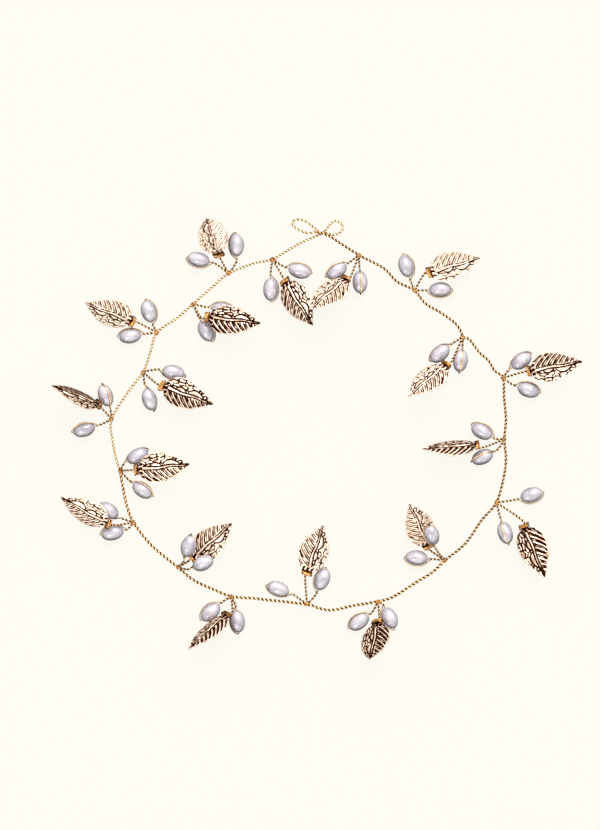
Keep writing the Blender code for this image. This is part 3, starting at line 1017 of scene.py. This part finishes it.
def floor_material():
    """A pale sheet. Most of its light is its own, so that the shadows on it stay faint.

    What it throws on the object is weaker and warmer, and gloss doesn't mirror that light, so that
    the undersides of pearls and wire stay dark.
    """
    material, nodes, links, shader = new_material("pale_floor")
    grain = noise(nodes, links, 900.0)
    colour = mixed(nodes, links, grain, (0.042, 0.041, 0.039), (0.048, 0.047, 0.045))
    links.new(colour, shader.inputs["Base Color"])
    ray = nodes.new("ShaderNodeLightPath").outputs
    light = mixed(nodes, links, ray["Is Camera Ray"], (1.0, 0.72, 0.48), (1.0, 0.972, 0.905))
    links.new(light, shader.inputs["Emission Color"])
    seen = calculated(nodes, links, "MULTIPLY", ray["Is Camera Ray"], 0.93)
    strength = calculated(nodes, links, "MULTIPLY_ADD", ray["Is Diffuse Ray"], 0.6, seen)
    links.new(strength, shader.inputs["Emission Strength"])
    shader.inputs["Roughness"].default_value = 1.0
    shader.inputs["Specular IOR Level"].default_value = 0.0
    return material


# ---------------------------------------------------------------- the pieces


GOLD = wire_material()
LEAF = leaf_material()
PEARL = pearl_material()


def copper_near(path, places):
    """More copper close to each place, as the wire is where it is wound."""
    tint = np.zeros(len(path))
    for place in places:
        tint = np.maximum(tint, 0.7 * bump(np.linalg.norm(path - place, axis=1), 2.0))
    return tint


def add_vine(name, route, radius, pitch, copper, dark, eyelet=None, arm=False):
    """A stretch of the vine, with its knots and its eyelet.

    copper is its wire's share of copper away from the knots, and the darkness argument is how broad
    the painted shade in its creases is. An arm's first stretch is made as a piece of its own.
    """
    path = curve_through([on_ring(point) for point in route], STRAND_STEP)
    knots = CARRIERS[name]
    wound = [on_ring(KNOTS[number]) for number in knots] + [on_ring(ENDS_CROSS)]
    tint = np.maximum(copper, copper_near(path, wound))
    first, second = twisted_pair(path, pitch, apart=radius)
    looks = {"radius": radius, "dark": dark}
    split = round(BEND_LENGTH / STRAND_STEP) if arm else 0
    shell = Shell()
    add_strands(shell, first[split:], second[split:], tint=tint[split:], **looks)
    for number in knots:
        nearest = np.argmin(np.linalg.norm(path - on_ring(KNOTS[number]), axis=1))
        add_coil(
            shell,
            path[nearest],
            tangents(path)[nearest],
            turns=2.6,
            radius=0.6,
            spacing=0.46,
            tint=0.75,
            wire=0.2,
            phase=number,
        )
    if eyelet:
        outline, height = eyelet
        points = [on_ring(point, height) for point in outline]
        ring = curve_through(points, STRAND_STEP, closed=True)
        strands = twisted_pair(ring, pitch, closed=True)
        add_strands(shell, *strands, tint=0.1, dark=0.4, closed=True)
        outward = path[-1] - path[-6]
        add_coil(shell, path[-3], outward, turns=2.2, radius=0.55, spacing=0.42, tint=0.6)
    obj = shell.make(f"{name}_wire", GOLD)
    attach(obj, name)
    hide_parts(name)
    if arm:
        shell = Shell()
        end = split + 1
        add_strands(shell, first[:end], second[:end], tint=tint[:end], **looks)
        bend = shell.make(f"{name}_bend", GOLD)
        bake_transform(bend)


def add_sprig(number, carrier):
    """A sprig's wires and binding, which ride on its stretch of vine, its leaf and its pearls."""
    stems = sprig_wires(number).make(f"sprig_{number:02d}_wires", GOLD)
    turns = binding(number).make(f"sprig_{number:02d}_binding", GOLD)
    for piece in (stems, turns):
        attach(piece, carrier)
    node = f"leaf_{number:02d}"
    plate = leaf(number).make(f"{node}_plate", LEAF)
    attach(plate, node)
    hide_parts(node)
    for index, letter in enumerate("ab"):
        node = f"pearl_{number:02d}{letter}"
        bead = pearl(number, index).make(f"{node}_bead", PEARL)
        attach(bead, node)
        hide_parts(node)


# The wire looks slimmer, paler and more tightly twisted on the left than on the right: it has less
# copper there, and narrower painted crease shade.
add_vine(
    "vine_left",
    LEFT_ROUTE,
    radius=0.25,
    pitch=2.8,
    copper=0.0,
    dark=0.5,
    eyelet=(LEFT_EYELET, LEFT_EYELET_HEIGHT),
    arm=True,
)
add_vine("vine_middle", MIDDLE_ROUTE, radius=0.3, pitch=3.4, copper=0.25, dark=0.8)
add_vine(
    "vine_right",
    RIGHT_ROUTE,
    radius=0.28,
    pitch=3.2,
    copper=0.3,
    dark=0.95,
    eyelet=(RIGHT_EYELET, RIGHT_EYELET_HEIGHT),
    arm=True,
)

for carrier, numbers in CARRIERS.items():
    for number in numbers:
        add_sprig(number, carrier)


# ---------------------------------------------------------------- floor, light and camera


def add_floor():
    size, level = FLOOR_SIZE / 2, FLOOR_LEVEL * MM
    corners = [(x * size, y * size, level) for x, y in ((-1, -1), (1, -1), (1, 1), (-1, 1))]
    mesh = bpy.data.meshes.new("floor")
    mesh.from_pydata(corners, [], [(0, 1, 2, 3)])
    mesh.materials.append(floor_material())
    obj = bpy.data.objects.new("floor", mesh)
    bpy.context.scene.collection.objects.link(obj)


def world_light():
    """Even pale light on everything, and a studio of soft boxes and dark gaps in what is glossy."""
    world = bpy.data.worlds.new("studio")
    bpy.context.scene.world = world
    world.use_nodes = True
    nodes, links = world.node_tree.nodes, world.node_tree.links
    nodes.clear()
    where = nodes.new("ShaderNodeTexCoord").outputs["Generated"]

    def lobe(direction, inner, outer, strength):
        """A soft patch of light about a direction, from its inner to its outer angle."""
        dot = nodes.new("ShaderNodeVectorMath")
        dot.operation = "DOT_PRODUCT"
        links.new(where, dot.inputs[0])
        dot.inputs[1].default_value = Vector(direction).normalized()
        fade = nodes.new("ShaderNodeMapRange")
        fade.interpolation_type = "SMOOTHSTEP"
        fade.inputs["From Min"].default_value = math.cos(math.radians(outer))
        fade.inputs["From Max"].default_value = math.cos(math.radians(inner))
        fade.inputs["To Max"].default_value = strength
        links.new(dot.outputs["Value"], fade.inputs["Value"])
        return fade.outputs["Result"]

    def background(colour, base, *lobes):
        """A light of one colour, as strong everywhere as its base and its lobes add up to."""
        strength = lobes[0]
        for value in (*lobes[1:], base):
            strength = calculated(nodes, links, "ADD", strength, value)
        node = nodes.new("ShaderNodeBackground")
        node.inputs["Color"].default_value = (*colour, 1)
        links.new(strength, node.inputs["Strength"])
        return node.outputs["Background"]

    plain = background((1.0, 0.985, 0.93), 0.2, lobe((0.15, 1.0, 0.5), 10, 120, 1.85))
    studio = background(
        (1.0, 0.985, 0.96),
        0.86,
        lobe((-0.1, -1.0, 0.45), 20, 58, 1.3),
        lobe((-0.1, 0.1, 1.0), 20, 66, 0.5),
        lobe((0.55, 0.5, 0.75), 14, 30, 0.5),
        lobe((0.1, 1.0, 0.12), 10, 30, 0.7),
        # The small bright lamp that the pearls mirror
        lobe((-0.3, -0.62, 0.7), 5, 9, 11.0),
    )
    mix = nodes.new("ShaderNodeMixShader")
    links.new(nodes.new("ShaderNodeLightPath").outputs["Is Glossy Ray"], mix.inputs["Fac"])
    links.new(plain, mix.inputs[1])
    links.new(studio, mix.inputs[2])
    out = nodes.new("ShaderNodeOutputWorld")
    links.new(mix.outputs[0], out.inputs["Surface"])


def add_sun():
    """A weak soft key from beyond the ring, which lays faint shadows on the viewer's side of it."""
    light = bpy.data.lights.new("key", "SUN")
    light.energy = 2.2
    light.angle = math.radians(40)
    light.color = (1.0, 0.98, 0.95)
    obj = bpy.data.objects.new("key", light)
    obj.rotation_euler = Vector((0.15, 0.7, 0.75)).to_track_quat("Z", "Y").to_euler()
    bpy.context.scene.collection.objects.link(obj)


def add_camera():
    """Straight above, far enough away that the ring is seen almost without perspective."""
    x, y, level = VIEW_MIDDLE
    data = bpy.data.cameras.new("camera")
    data.lens = CAMERA_LENS
    data.sensor_width = CAMERA_SENSOR
    data.clip_end = 50
    obj = bpy.data.objects.new("camera", data)
    obj.location = Vector((x, y, VIEW_SPAN * CAMERA_LENS / CAMERA_SENSOR + level)) * MM
    bpy.context.scene.collection.objects.link(obj)
    bpy.context.scene.camera = obj


add_floor()
world_light()
add_sun()
add_camera()
bpy.context.scene.view_settings.view_transform = "Standard"
